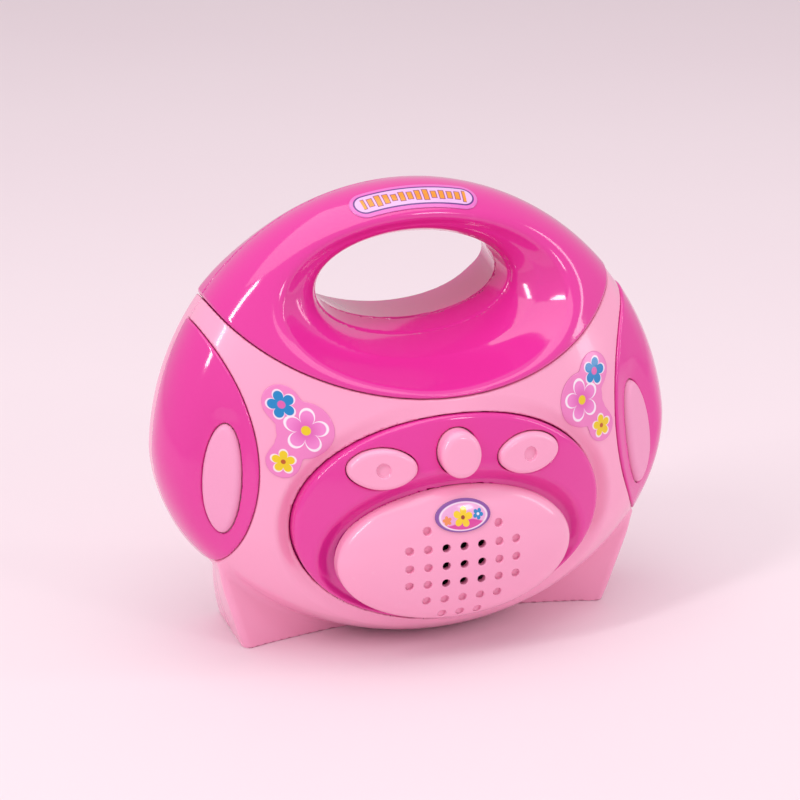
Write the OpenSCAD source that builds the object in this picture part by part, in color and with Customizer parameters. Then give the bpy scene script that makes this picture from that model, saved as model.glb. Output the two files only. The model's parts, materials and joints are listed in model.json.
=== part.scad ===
// Toy portable recorder: a round hollow body that leans back on a splayed foot,
// with a loop handle, two side panels, three push-buttons and a speaker grille.
// +X is the object's left-to-right axis seen from the front, -Y is the front, +Z is up.

/* [Body] */
// Radius of the round outline
body_r = 78; // [77.5:0.5:78.5]
// How far the front bulges out of the parting plane
front_h = 40; // [39:0.5:41]
// How far the back bulges out of the parting plane
rear_h = 28; // [26:0.5:29]
// Angle by which the body leans back
lean_angle = 10; // [9.5:0.5:10.5]
// Wall thickness of every moulded shell
wall = 2; // [1.8:0.1:2.4]

/* [Foot] */
// Half width of the foot where it meets the table
foot_half_w = 56.5; // [54:0.5:58]
// Depth of the foot on the table
foot_depth = 30; // [28:1:32]

/* [Buttons] */
// Travel of the two oval buttons
side_travel = 1.5; // [1:0.1:1.6]
// Travel of the centre knob
knob_travel = 2.5; // [1.5:0.1:2.6]
// Clearance round each button
button_gap = 0.4; // [0.3:0.05:0.5]

/* [Hand hole] */
// Half width of the hand hole
hand_a = 29; // [27:0.5:30]
// Half height of the hand hole
hand_b = 13.9; // [12:0.1:14]

/* [Hidden] */
$fn = 96;

big = 200;                      // larger than the whole object
foot_front = -7;                // front edge of the foot on the table
lean_y = foot_front + 5;        // where the parting plane would meet the table
form_z = 53;                    // height of the outline's centre along the leaning plane
rim_r = 20;                     // radius of the rounded rim of the body
under_z = 86.5;                 // centre of the flatter underside arc
under_r = 88;                   // radius of the flatter underside arc
under_round = 50;               // roundness of the underside from front to back

foot_top = 30;                  // the foot disappears into the body here
foot_top_half_w = 65.5;         // half width of the foot at that height
foot_seam = foot_front + 16;    // front and rear shells meet in the foot here
foot_nose = 5.5;                // how far the foot leans forward at its top
foot_hollow_r = 190;            // radius of the shallow hollow in the foot's front face

hood_c = [0, 115.5];            // oval that bounds the handle, in the front view
hood_a = 66;
hood_b = 38;
hand_c = [0, 103.3];            // centre of the hand hole, in the front view
dish_z = 101;                   // centre of the funnel along the leaning plane
dish_r = [46, 30, 25];          // half sizes of the funnel
dish_front = 33;                // distance of the front funnel's centre from the parting plane
dish_rear = 40;                 // the same for the funnel at the back

panel_c = [0, 42.2];            // magenta front panel
panel_a = 46;
panel_b = 30.8;
grille_c = [0, 32.6];           // domed speaker grille
grille_a = 35;
grille_b = 20.2;
grille_y = foot_front - 22.5;   // centre of the grille's dome
grille_h = 8.5;                 // height of the grille's dome
moat_y = grille_y - 0.6;        // floor of the moat round the grille
moat_w = 2.6;                   // width of the moat
speaker_r = 18.3;
speaker_z = 34.6;
speaker_y = moat_y + wall + 0.1; // front face of the speaker's flange
hole_pitch = 5.3;
hole_d = 2.4;
hole_top_z = 42.1;              // highest row of speaker holes
hole_rows = [[-2, 2], [-3, -2, -1, 0, 1, 2, 3], [-3, -2, -1, 0, 1, 2, 3],
    [-3, -2, -1, 0, 1, 2, 3], [-2, -1, 0, 1, 2], [-1, 0, 1]];

button_x = 21.8;
button_z = 59.8;
button_a = 10.2;
button_b = 5.7;
knob_z = 63;
knob_a = 6;
knob_b = 7.4;
side_proud = 1.6;               // how far the oval buttons stand out of the body
knob_proud = 5;
flange_w = 1.4;                 // flange that holds a button in behind its sleeve
stem_r = 2;
board_y = foot_front - 3;       // front face of the main board
board_z = [46, 76];
board_half_w = 32;
board_t = 1.2;
switch_h = 4.3;                 // height of a switch with its plunger
spring_wire = 0.45;             // radius of the wire of every spring

label_z = 127;                  // handle label, a strip bent round the handle
label_arc = 85;
label_b = 2.7;
label_turn = 11.2;

side_c = [110.3, 61.5];         // arc of the side panels' front edge
side_r = 56.5;
insert_c = [63.5, foot_front - 8, 56.6];    // oval insert in the side panel
insert_turn = 50;               // how far an insert turns from sideways to the front
insert_a = 5.8;
insert_b = 16;

cell_r = 7.25;                  // AA cell
cell_l = 50.5;
cell_x = -21.5;                 // flat end of both cells
cell_z = [27.5, 43.5];
cell_y = [foot_front + 25, foot_front + 26.5];
cover_half_w = 38.5;
cover_z = [18, 54];
cover_gap = 0.35;
cover_screw = [34.8, foot_front + 33.6, 36];   // one of the two cover screws, at its seat
tray_half_w = 30.4;
tray_floor = foot_front + 16;

boss_x = 47;                    // case screws, two low and two high
boss_z = [24, 74];
boss_y = [foot_seam, foot_front + 18];
handle_boss = [50, 97];
handle_boss_y = foot_front + 22;
pilot_r = 1.15;                 // hole that a self-tapping screw cuts its thread in
clear_r = 1.7;                  // hole that a screw passes through freely

// Two leads from the speaker's tags up to the foot of the board
speaker_lead_route = [[-12, -26, 20], [-26, -8, 16], [-36, -6, 30], [-24, -9, 45]];
// Two leads from the battery tray's slot up to the back of the board
battery_lead_route = [[29, 10, 43.6], [28, 2, 46], [31, -2, 52], [26, -7, 58]];
lead_r = 0.6;
lead_pitch = [1.9, 0, 0];

pink = [0.97, 0.66, 0.82];
magenta = [0.90, 0.20, 0.60];
steel = [0.75, 0.76, 0.78];
board_green = [0.15, 0.42, 0.22];
black = [0.10, 0.10, 0.10];

// ---- shared shapes -------------------------------------------------------------

// Puts children drawn upright on the parting plane into the leaning body
module leaning() translate([0, lean_y, 0]) rotate([-lean_angle, 0, 0]) children();

// Radius of the ball that caps a body half of height h, tangent to the rounded rim
function cap_r(h) = (pow(body_r - rim_r, 2) + h * h - rim_r * rim_r) / (2 * (h - rim_r));

// Half profile of one body half: a big cap arc that runs into the rim arc
module half_profile(h, off) {
    cap = cap_r(h);
    reach = (body_r - rim_r) * cap / (cap - rim_r);
    intersection() {
        translate([0, h - cap]) circle(cap + off, $fn = 180);
        square([reach + off * reach / cap, h + off]);
    }
    intersection() {
        translate([body_r - rim_r, 0]) circle(rim_r + off);
        square([body_r + off, rim_r + off]);
    }
}

// One half of the body before the underside is trimmed, offset by off
module half_form(h, off, side)
    leaning() translate([0, 0, form_z]) rotate([-90 * side, 0, 0])
        rotate_extrude($fn = 180) half_profile(h, off);

// The rounded drum that trims the underside, offset by off
module underside(off)
    leaning() translate([0, 0, under_z]) rotate([90, 0, 0])
        rotate_extrude($fn = 180) intersection() {
            union() {
                translate([under_r - under_round, 0]) circle(under_round + off, $fn = 120);
                translate([0, -under_round - off]) square([under_r - under_round, 2 * (under_round + off)]);
            }
            translate([0, -big / 2]) square([big, big]);
        }

// The whole body without its foot, offset by off
module body_form(off)
    intersection() {
        union() {
            half_form(front_h, off, -1);
            half_form(rear_h, off, 1);
        }
        underside(off);
    }

// Everything in front of the parting plane, moved by shift along it
module front_space(shift = 0)
    leaning() translate([-big / 2, -big + shift, -big / 2]) cube([big, big, 2 * big]);

// A prism along Y over a front-view outline, between two depths
module through(y0 = -big / 2, y1 = big / 2)
    translate([0, y1, 0]) rotate([90, 0, 0]) linear_extrude(y1 - y0) children();

module oval(c, a, b) translate(c) scale([a, b]) circle(1);

// Front-view outline of the handle
module hood_outline(off)
    union() {
        oval(hood_c, hood_a + off, hood_b + off);
        translate([-hood_a - off, hood_c[1]]) square([2 * (hood_a + off), big / 2]);
    }

// Front-view outline of one side panel
module side_outline(off)
    intersection() {
        translate(side_c) circle(side_r + off);
        translate([40, 27.3 - off]) square([60, 68.5 + 2 * off]);
    }

// The foot as a solid, offset by off
module foot_form(off)
    difference() {
        intersection() {
            through(foot_front - 12, foot_front + foot_depth + 12)
                polygon([[-foot_half_w - off, 0], [foot_half_w + off, 0],
                    [foot_top_half_w + off, foot_top], [-foot_top_half_w - off, foot_top]]);
            rotate([90, 0, 90]) translate([0, 0, -big / 2]) linear_extrude(big)
                polygon([[foot_front - off, 0], [foot_front + foot_depth + off, 0],
                    [foot_front + foot_depth + off, foot_top], [foot_front - foot_nose - off, foot_top]]);
            linear_extrude(foot_top)
                polygon([[-70 - off, foot_front - 10], [70 + off, foot_front - 10],
                    [60 + off, foot_front + foot_depth + 10], [-60 - off, foot_front + foot_depth + 10]]);
        }
        translate([0, foot_front + 8 - foot_hollow_r, -1])
            cylinder(r = foot_hollow_r - off, h = foot_top + 2, $fn = 180);
    }

// Body and foot together
module case_form(off)
    intersection() {
        union() {
            body_form(off);
            foot_form(off);
        }
        translate([-big / 2, -big / 2, off < 0 ? -off : 0]) cube([big, big, big]);
    }

// The part of space that belongs to the front shell
module front_half()
    union() {
        front_space();
        translate([-big / 2, -big / 2, -1]) cube([big, big / 2 + foot_seam, 1 + 28]);
    }

// Where the hand passes through, grown by off
module hand_hole(off) through() oval(hand_c, hand_a + off, hand_b + off);

// The funnel that leads into the hand hole from the front (side -1) or the back (side 1)
module hand_funnel(side, off)
    leaning() translate([0, side < 0 ? -dish_front : dish_rear, dish_z])
        scale([dish_r[0] + off, dish_r[1] + off, dish_r[2] + off]) sphere(1);

module screw(head_r, shaft_r, shaft_l)
    union() {
        rotate([-90, 0, 0]) cylinder(r = head_r, h = 1.8, $fn = 48);
        rotate([90, 0, 0]) cylinder(r = shaft_r, h = shaft_l, $fn = 48);
    }

module at_case_bosses()
    for (side = [-1, 1], i = [0, 1]) translate([side * boss_x, boss_y[i], boss_z[i]]) children();

module at_cover_screws()
    for (side = [-1, 1]) translate([side * cover_screw[0], cover_screw[1], cover_screw[2]]) children();

module at_handle_bosses()
    for (side = [-1, 1]) translate([side * handle_boss[0], handle_boss_y, handle_boss[1]]) children();

module pole(r, y0, y1) translate([0, y0, 0]) rotate([-90, 0, 0]) cylinder(r = r, h = y1 - y0, $fn = 48);

// ---- case ----------------------------------------------------------------------

module side_seats(inset)
    for (side = [0, 1]) mirror([side, 0, 0])
        difference() {
            intersection() {
                through() side_outline(0.15);
                front_space(1.5);
            }
            body_form(inset);
        }

module front_shell()
    color(pink) difference() {
        union() {
            difference() {
                intersection() { case_form(0); front_half(); }
                case_form(-wall);
            }
            // Screw posts, inside the case only
            intersection() {
                case_form(-1);
                at_case_bosses() pole(3.6, -60, 0);
            }
            // Thicker wall behind the side panels
            intersection() {
                difference() { case_form(-1); case_form(-wall - 2); }
                through() union() { side_outline(1.5); mirror([1, 0, 0]) side_outline(1.5); }
                front_space();
            }
        }
        through() hood_outline(0);
        through(-big / 2, foot_front + 1) oval(panel_c, panel_a, panel_b);
        side_seats(-1.9);
        at_case_bosses() pole(pilot_r, -10, 1);
    }

module rear_shell()
    color(pink) difference() {
        union() {
            difference() {
                case_form(0);
                front_half();
                case_form(-wall);
            }
            intersection() {
                case_form(-1);
                at_case_bosses() pole(4.6, 0, 60);
            }
            cover_ledge();
            battery_tray();
            at_cover_screws() pole(2.9, -15, -2.9);
        }
        through() hood_outline(0);
        side_seats(-1.9);
        at_case_bosses() { pole(clear_r, -1, 60); pole(3.4, 3, 60); }
        // Room for the battery cover with its two screw cups
        difference() {
            through(tray_floor, big / 2) cover_outline(0);
            case_form(-wall - cover_gap);
        }
        at_cover_screws() { pole(3.8, -2.9, 20); pole(1.3, -14, 1); }
    }

// Step all round the battery opening on which the cover rests
module cover_ledge()
    intersection() {
        difference() { case_form(-1); case_form(-wall - 2); }
        difference() {
            through(0, 70) cover_outline(2);
            through(-1, 71) cover_outline(-2);
        }
    }

module handle_half(side)
    difference() {
        union() {
            difference() {
                intersection() { body_form(0.6); through() hood_outline(-0.1); }
                body_form(-wall);
            }
            // Skirt that tucks under the edge of the case
            intersection() {
                difference() { body_form(-wall - 0.2); body_form(-2 * wall - 0.2); }
                difference() {
                    through() hood_outline(4);
                    through() hood_outline(-4);
                }
            }
            intersection() {
                body_form(-1);
                through() hood_outline(-1);
                union() {
                    hand_funnel(side, wall);
                    hand_hole(wall);
                }
            }
            intersection() {
                body_form(-1);
                at_handle_bosses() pole(3.8, -60, 60);
            }
        }
        hand_hole(0);
        hand_funnel(side, 0);
    }

module handle_front()
    color(magenta) difference() {
        intersection() { handle_half(-1); front_space(); }
        at_handle_bosses() pole(pilot_r, -12, 20);
    }

module handle_rear()
    color(magenta) difference() {
        handle_half(1);
        front_space();
        at_handle_bosses() { pole(clear_r, -20, 60); pole(3.2, 3, 60); }
    }

module side_panel()
    difference() {
        intersection() {
            body_form(0.5);
            through() side_outline(0);
            front_space(1.4);
        }
        body_form(-1.8);
        insert_prism(0.1);
    }

// Oval prism that points out of the body where an insert sits
module insert_prism(grow)
    translate(insert_c) rotate([90, 0, 90 - insert_turn]) translate([0, 0, -6])
        scale([insert_a + grow, insert_b + grow, 1]) cylinder(r = 1, h = 26);

module side_insert()
    intersection() {
        difference() { body_form(0.3); body_form(-1.6); }
        insert_prism(0);
    }

module side_panel_right() color(magenta) side_panel();
module side_panel_left() color(magenta) mirror([1, 0, 0]) side_panel();
module side_insert_right() color(pink) side_insert();
module side_insert_left() color(pink) mirror([1, 0, 0]) side_insert();

// ---- front panel and speaker ---------------------------------------------------

// Grille dome: a flattened ball in front of the moat floor, offset by off
module grille_dome(off)
    intersection() {
        translate([grille_c[0], grille_y, grille_c[1]])
            scale([grille_a + off, grille_h + off, grille_b + off]) sphere(1);
        translate([-big / 2, -big + grille_y, -big / 2]) cube([big, big, big]);
    }

module front_panel()
    color(magenta) difference() {
        union() {
            difference() {
                intersection() {
                    body_form(0.4);
                    through(-big / 2, 0) oval(panel_c, panel_a - 0.15, panel_b - 0.15);
                    front_space();
                }
                body_form(-wall);
            }
            // Floor of the moat and the seat that carries the grille
            intersection() {
                body_form(-0.5);
                through(moat_y, moat_y + wall) oval(grille_c, grille_a + 5, grille_b + 5);
            }
            intersection() {
                body_form(-0.5);
                difference() {
                    through(moat_y - 12, moat_y + wall)
                        oval(grille_c, grille_a + moat_w + wall, grille_b + moat_w + wall);
                    through(moat_y - 13, moat_y) oval(grille_c, grille_a + moat_w, grille_b + moat_w);
                }
            }
            // Guide sleeves for the buttons and posts for the main board
            button_sleeves();
            intersection() {
                body_form(-0.5);
                at_board_screws() pole(2.6, -60, 0);
            }
        }
        through(-big / 2, moat_y) oval(grille_c, grille_a + moat_w, grille_b + moat_w);
        // Seat of the grille and round sound hole behind it
        through(-big / 2, grille_y + 0.05) oval(grille_c, grille_a + 0.1, grille_b + 0.1);
        through() translate([0, speaker_z]) circle(speaker_r - 3);
        at_speaker_screws() pole(1.05, -4, 1);
        button_openings(button_gap);
        at_board_screws() pole(1.05, -7, 1);
    }

module at_board_screws()
    for (side = [-1, 1]) translate([side * (board_half_w - 3), board_y, board_z[0] + 4]) children();

module button_ovals(grow)
    union() {
        for (side = [-1, 1]) oval([side * button_x, button_z], button_a + grow, button_b + grow);
        oval([0, knob_z], knob_a + grow, knob_b + grow);
    }

module button_openings(grow) through() button_ovals(grow);

module button_sleeves()
    intersection() {
        body_form(-0.5);
        through(-big / 2, foot_front - 14) difference() {
            button_ovals(button_gap + 1.2);
            button_ovals(button_gap);
        }
    }

// A press piece: head inside the sleeve, flange behind it and a stem to its switch
module press_piece(c, a, b, proud, travel)
    union() {
        intersection() {
            body_form(proud);
            through(-big / 2, foot_front - 13) oval(c, a, b);
        }
        through(foot_front - 13.5, foot_front - 12) oval(c, a + flange_w, b + flange_w);
        translate([c[0], 0, c[1]]) pole(stem_r, foot_front - 13, board_y - switch_h - travel - 0.3);
    }

module button_side(x)
    difference() {
        press_piece([x, button_z], button_a, button_b, side_proud, side_travel);
        // Finger dimple
        translate([x, foot_front - 27.4, button_z]) sphere(2.9, $fn = 48);
    }

module button_left() color(pink) button_side(-button_x);
module button_right() color(pink) button_side(button_x);
module button_centre() color(pink) press_piece([0, knob_z], knob_a, knob_b, knob_proud, knob_travel);

// Return springs, three rings of wire each, drawn at their pressed length
module button_springs()
    color(steel) for (x = [-button_x, 0, button_x], i = [0 : 2])
        translate([x, board_y - 3.8 - i, x == 0 ? knob_z : button_z]) rotate([90, 0, 0])
            rotate_extrude($fn = 48) translate([stem_r + 2.2, 0]) circle(spring_wire, $fn = 24);

module speaker_grille()
    color(pink) difference() {
        grille_dome(0);
        grille_dome(-wall);
        for (row = [0 : len(hole_rows) - 1], col = hole_rows[row])
            translate([col * hole_pitch, 0, hole_top_z - row * hole_pitch])
                pole(hole_d / 2, foot_front - 60, hole_depth(row, col));
    }

// The middle nine holes go right through, the rest are blind dimples
function hole_depth(row, col) =
    abs(col) <= 1 && row >= 1 && row <= 3 ? foot_front :
    dome_y(col * hole_pitch, hole_top_z - row * hole_pitch) + 1;

// Y of the grille's face at a point of the front view
function dome_y(x, z) = grille_y - grille_h
    * sqrt(max(0, 1 - pow((x - grille_c[0]) / grille_a, 2) - pow((z - grille_c[1]) / grille_b, 2)));

module at_speaker_screws()
    for (side = [-1, 1]) translate([side * (speaker_r + 1.2), speaker_y, speaker_z]) children();

module at_speaker() translate([0, speaker_y, speaker_z]) rotate([-90, 0, 0]) children();

module speaker_frame()
    color(steel) at_speaker() difference() {
        union() {
            cylinder(r = speaker_r, h = 1.6);
            translate([0, 0, 1.6]) cylinder(r1 = speaker_r - 2, r2 = 10, h = 6);
        }
        translate([0, 0, -0.1]) cylinder(r1 = speaker_r - 3, r2 = 8.6, h = 7.8);
    }

module speaker_cone()
    color(black) at_speaker() union() {
        difference() {
            translate([0, 0, 0.6]) cylinder(r1 = speaker_r - 4, r2 = 5, h = 5.6);
            cylinder(r1 = speaker_r - 4.1, r2 = 4.6, h = 5.8);
        }
        translate([0, 0, 5.6]) cylinder(r = 6, h = 1);
    }

module speaker_magnet()
    color(steel) at_speaker() translate([0, 0, 7.7]) union() {
        cylinder(r = 11, h = 4.5);
        translate([0, 0, 4.5]) cylinder(r = 8.5, h = 1.5);
    }

module speaker_screws() color(steel) at_speaker_screws() translate([0, 1.65, 0]) screw(2.6, 1.1, 3.4);

// ---- labels --------------------------------------------------------------------

// Thin film over the body, in a front-view outline
module skin_patch(off)
    intersection() {
        difference() { body_form(off + 0.35); body_form(off + 0.05); }
        through(-big / 2, 60) children();
    }

module handle_label()
    color([0.85, 0.55, 0.85]) intersection() {
        skin_patch(0.6) union() {
            intersection() {
                difference() {
                    translate([0, label_z - label_arc]) circle(label_arc + label_b, $fn = 180);
                    translate([0, label_z - label_arc]) circle(label_arc - label_b, $fn = 180);
                }
                translate([0, label_z - label_arc]) polygon([[0, 0],
                    label_arc * 1.2 * [-sin(label_turn), cos(label_turn)],
                    label_arc * 1.2 * [sin(label_turn), cos(label_turn)]]);
            }
            for (side = [-1, 1])
                translate([0, label_z - label_arc]) rotate(side * label_turn)
                    translate([0, label_arc]) circle(label_b, $fn = 48);
        }
        front_space(-2);
    }

module flower_outline() {
    translate([46.9, 77.5]) circle(5.4, $fn = 48);
    translate([40.8, 70.5]) circle(7.6, $fn = 48);
    translate([47.6, 61.8]) circle(4.8, $fn = 48);
    translate([44.6, 66]) circle(4.4, $fn = 48);
}

module flower_sticker()
    intersection() {
        skin_patch(0) flower_outline();
        front_space(-3);
    }

module flower_sticker_right() color([0.85, 0.35, 0.75]) flower_sticker();
module flower_sticker_left() color([0.85, 0.35, 0.75]) mirror([1, 0, 0]) flower_sticker();

module speaker_badge()
    color([0.5, 0.2, 0.6]) intersection() {
        difference() { grille_dome(0.4); grille_dome(0.05); }
        through() oval([0, 46.2], 8.2, 4.5);
    }

// ---- electronics ---------------------------------------------------------------

module main_board()
    color(board_green) difference() {
        through(board_y, board_y + board_t) translate([-board_half_w, board_z[0]])
            square([2 * board_half_w, board_z[1] - board_z[0]]);
        at_board_screws() pole(1.3, -1, 3);
    }

module tact_switches()
    color(black) for (x = [-button_x, 0, button_x])
        translate([x, board_y, x == 0 ? knob_z : button_z]) union() {
            translate([-3, -3.2, -3]) cube([6, 3.2, 6]);
            pole(1.7, -switch_h, -3);
        }

module chip_cover()
    color(black) translate([-10, board_y + board_t - 5.3, 66]) intersection() {
        sphere(7.3);
        translate([-8, 5.3, -8]) cube(16);
    }

module board_capacitor()
    color([0.1, 0.15, 0.35]) translate([11, board_y + board_t, 68]) pole(3.2, 0, 9);

module board_resistors()
    color([0.75, 0.6, 0.4]) for (i = [0 : 3])
        translate([17 + i * 3, board_y + board_t + 1, 64]) cylinder(r = 1, h = 6, $fn = 24);

module board_screws()
    color(steel) at_board_screws() translate([0, board_t, 0]) screw(2.4, 1.1, 7);

// ---- battery compartment -------------------------------------------------------

module cover_outline(off)
    translate([-cover_half_w - off, cover_z[0] - off])
        square([2 * (cover_half_w + off), cover_z[1] - cover_z[0] + 2 * off]);

module tray_outline(off)
    translate([-tray_half_w - off, cover_z[0] + 1.5 - off])
        square([2 * (tray_half_w + off), cover_z[1] - cover_z[0] - 3 + 2 * off]);

// Box moulded into the rear shell round the two cells, with brackets out to the screw posts
module battery_tray()
    difference() {
        intersection() {
            case_form(-1);
            union() {
                difference() {
                    through(tray_floor, 60) tray_outline(1.6);
                    through(tray_floor + 1.6, 61) tray_outline(0);
                }
                for (side = [-1, 1])
                    translate([side * cover_screw[0] - 4, cover_screw[1] - 15, cover_screw[2] - 1])
                        cube([8, 12, 2]);
            }
        }
        // Slot for the leads
        translate([tray_half_w - 5.5, tray_floor - 1, cover_z[1] - 12]) cube([5, 4, 3]);
    }

module battery(i)
    translate([cell_x, cell_y[i], cell_z[i]]) rotate([0, 90, 0]) union() {
        cylinder(r = cell_r, h = cell_l - 1.2);
        translate([0, 0, cell_l - 1.2]) cylinder(r = 2.7, h = 1.2, $fn = 48);
    }

module battery_lower() color([0.20, 0.35, 0.60]) battery(0);
module battery_upper() color([0.20, 0.35, 0.60]) battery(1);

module contact_springs()
    color(steel) for (i = [0, 1], k = [0 : 4])
        translate([cell_x - 0.7 - k * 1.6, cell_y[i], cell_z[i]]) rotate([0, 90, 0])
            rotate_extrude($fn = 48) translate([2.4 + k * 0.6, 0]) circle(spring_wire, $fn = 16);

module contact_plates()
    color(steel) for (i = [0, 1], x = [0.25 - tray_half_w, cell_x + cell_l + 0.1])
        translate([x, cell_y[i] - 5.6, cell_z[i] - 5.6]) cube([0.5, 11.2, 11.2]);

module battery_cover()
    color(pink) difference() {
        intersection() {
            case_form(0);
            through(tray_floor, 70) cover_outline(-cover_gap);
            union() {
                difference() { case_form(0); case_form(-wall); }
                at_cover_screws() pole(3.4, -2.5, 20);
            }
        }
        at_cover_screws() { pole(1.35, -20, 20); pole(3, 0, 20); }
    }

module cover_screws() color(steel) at_cover_screws() screw(2.7, 1.22, 9);

// ---- fasteners and leads -------------------------------------------------------

module case_screws() color(steel) at_case_bosses() translate([0, 3.05, 0]) screw(2.9, 1.2, 11);
module handle_screws() color(steel) at_handle_bosses() translate([0, 3.05, 0]) screw(2.8, 1.2, 11);

// An insulated lead: eight-sided tube along a smooth curve through four control points
function curve(p, t) = pow(1 - t, 3) * p[0] + 3 * pow(1 - t, 2) * t * p[1]
    + 3 * (1 - t) * t * t * p[2] + pow(t, 3) * p[3];
function unit(v) = v / norm(v);

module lead(p, rings = 14) {
    sides = 8;
    points = [for (i = [0 : rings]) let (
        t = i / rings,
        along = unit(curve(p, min(1, t + 0.02)) - curve(p, max(0, t - 0.02))),
        across = unit(cross(along, [0.3, 0.2, 1])),
        up = cross(along, across))
        for (k = [0 : sides - 1]) curve(p, t)
            + lead_r * (cos(360 * k / sides) * across + sin(360 * k / sides) * up)];
    walls = [for (i = [0 : rings - 1], k = [0 : sides - 1])
        [(i + 1) * sides + k, (i + 1) * sides + (k + 1) % sides, i * sides + (k + 1) % sides, i * sides + k]];
    polyhedron(points, concat(walls, [[for (k = [0 : sides - 1]) k]],
        [[for (k = [sides - 1 : -1 : 0]) rings * sides + k]]), convexity = 4);
}

module speaker_leads() color([0.8, 0.1, 0.1]) for (i = [0, 1])
    lead([for (p = speaker_lead_route) p + i * lead_pitch]);
module battery_leads() color([0.1, 0.1, 0.1]) for (i = [0, 1])
    lead([for (p = battery_lead_route) p - i * lead_pitch]);

front_shell();
rear_shell();
handle_front();
handle_rear();
side_panel_left();
side_panel_right();
side_insert_left();
side_insert_right();
front_panel();
speaker_grille();
button_left();
button_centre();
button_right();
button_springs();
handle_label();
flower_sticker_left();
flower_sticker_right();
speaker_badge();
speaker_frame();
speaker_cone();
speaker_magnet();
speaker_screws();
main_board();
tact_switches();
chip_cover();
board_capacitor();
board_resistors();
board_screws();
battery_lower();
battery_upper();
contact_springs();
contact_plates();
battery_cover();
cover_screws();
case_screws();
handle_screws();
speaker_leads();
battery_leads();
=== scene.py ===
"""Looks of a toy portable recorder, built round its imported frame.

Lengths are in millimetres until a mesh is made. The front is towards -Y.
"""
import json
import math

import bpy
import numpy as np
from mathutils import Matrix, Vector


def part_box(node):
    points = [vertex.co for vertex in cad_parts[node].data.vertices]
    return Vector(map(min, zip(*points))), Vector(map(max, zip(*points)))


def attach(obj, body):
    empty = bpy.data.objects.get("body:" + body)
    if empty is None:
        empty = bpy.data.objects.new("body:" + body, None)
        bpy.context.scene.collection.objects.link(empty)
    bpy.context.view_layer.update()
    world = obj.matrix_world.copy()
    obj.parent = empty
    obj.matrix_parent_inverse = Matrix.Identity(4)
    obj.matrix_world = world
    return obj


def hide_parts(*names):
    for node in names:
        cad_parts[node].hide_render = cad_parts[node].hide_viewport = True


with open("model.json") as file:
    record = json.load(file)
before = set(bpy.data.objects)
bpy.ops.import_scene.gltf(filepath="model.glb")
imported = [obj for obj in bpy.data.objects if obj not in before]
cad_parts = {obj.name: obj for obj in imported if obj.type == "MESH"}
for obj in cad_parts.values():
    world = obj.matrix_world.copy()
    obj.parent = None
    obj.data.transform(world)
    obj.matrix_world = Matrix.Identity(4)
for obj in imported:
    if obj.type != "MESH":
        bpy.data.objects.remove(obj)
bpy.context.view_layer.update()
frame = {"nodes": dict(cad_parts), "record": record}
MM = 0.001

# ---- driving sizes ---------------------------------------------------------------

BODY_R, RIM_R = 78.0, 20.0                 # round outline of the body and the radius of its rim
RIM_C = BODY_R - RIM_R                     # from the body's axis to the middle of the rim
FRONT_H, REAR_H = 40.0, 28.0               # bulge of the front and of the back
REAR_FULL = 1.3                            # how much fuller the back is below the handle
LEAN = math.radians(10)
FOOT_FRONT = -7.0
LEAN_Y, FORM_Z = FOOT_FRONT + 5, 53.0
UNDER_Z, UNDER_R, UNDER_ROUND = 86.5, 88.0, 50.0     # drum that flattens the underside
WALL = 2.0
FOOT_HALF_W, FOOT_TOP_W, FOOT_TOP, FOOT_DEPTH = 56.5, 65.5, 30.0, 30.0
FOOT_SEAM = FOOT_FRONT + 16
GAP = 0.16                                 # half of the visible gap between two mouldings
HANDLE_GAP = 0.07                          # the same between the halves of the handle

# Ovals of the front view: height of the centre, half width, half height.
HOOD = (115.5, 66.0, 38.0)
PANEL = (41.8, 46.0, 31.3)
DOME = (32.4, 35.0, 20.1)
HAND = (102.2, 28.4, 12.9)
LIP, RIDGE = (101.6, 29.4, 14.7), (97.5, 43.7, 23.3)       # edges of the funnel, heights along the lean
LIP_DEPTH = 9.0                            # of the inner edge, in front of the parting plane
MOAT_DEPTH, MOAT_W = 3.1, 6.6              # groove that slopes down to the grille

DOME_BACK, DOME_H = FOOT_FRONT - 22.5, 8.5
GRILLE_WALL = 2.3
HOLE_PITCH, HOLE_R, HOLE_TOP = 5.3, 1.2, 42.1
DIMPLE = 1.35                              # depth of a blind hole
# Columns of the grille's holes, row by row from the top; column 0 is the middle.
HOLE_ROWS = [(-2, 2), range(-3, 4), range(-3, 4), range(-3, 4), range(-2, 3), range(-1, 2)]
SPEAKER_Z, SPEAKER_R = 34.6, 15.3

KEY_X, KEY_Z, KEY_A, KEY_B = 21.8, 59.8, 10.2, 5.7
KEY_RISE, KEY_TRAVEL = 1.9, 1.5
KNOB_Z, KNOB_A, KNOB_B = 63.0, 6.0, 6.5
KNOB_RISE, KNOB_TRAVEL = 4.6, 2.5
KEY_BACK = FOOT_FRONT - 13                 # back of the keys' heads
BOARD_Y = FOOT_FRONT - 3
BOARD_POST = (29.0, BOARD_Y, 50.0)
SIDE_C, SIDE_R, SIDE_Z = (110.3, 61.5), 56.5, (27.3, 95.8)     # arc and ends of a side panel
INSERT_C, INSERT_TURN = (64.6, FOOT_FRONT - 6.8, 55.2), math.radians(50)
INSERT_A, INSERT_B = 5.7, 15.5
COVER_W, COVER_Z = 38.5, (18.0, 54.0)      # half width, and the two ends of the height
COVER_SCREW = (34.8, FOOT_FRONT + 33.6, 36.0)
TRAY_LOW, TRAY_HIGH = (-32, FOOT_SEAM, 17.9), (32, 60, 54.1)
TRAY_WALL = 1.6
CASE_BOSSES = [(47.0, FOOT_SEAM, 24.0), (47.0, FOOT_FRONT + 18, 74.0)]
HANDLE_BOSS = (50.0, FOOT_FRONT + 22, 97.0)
PILOT_R, CLEAR_R = 1.15, 1.7               # screw holes: the thread's and the shank's
SCREW_STEP = 0.22

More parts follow.
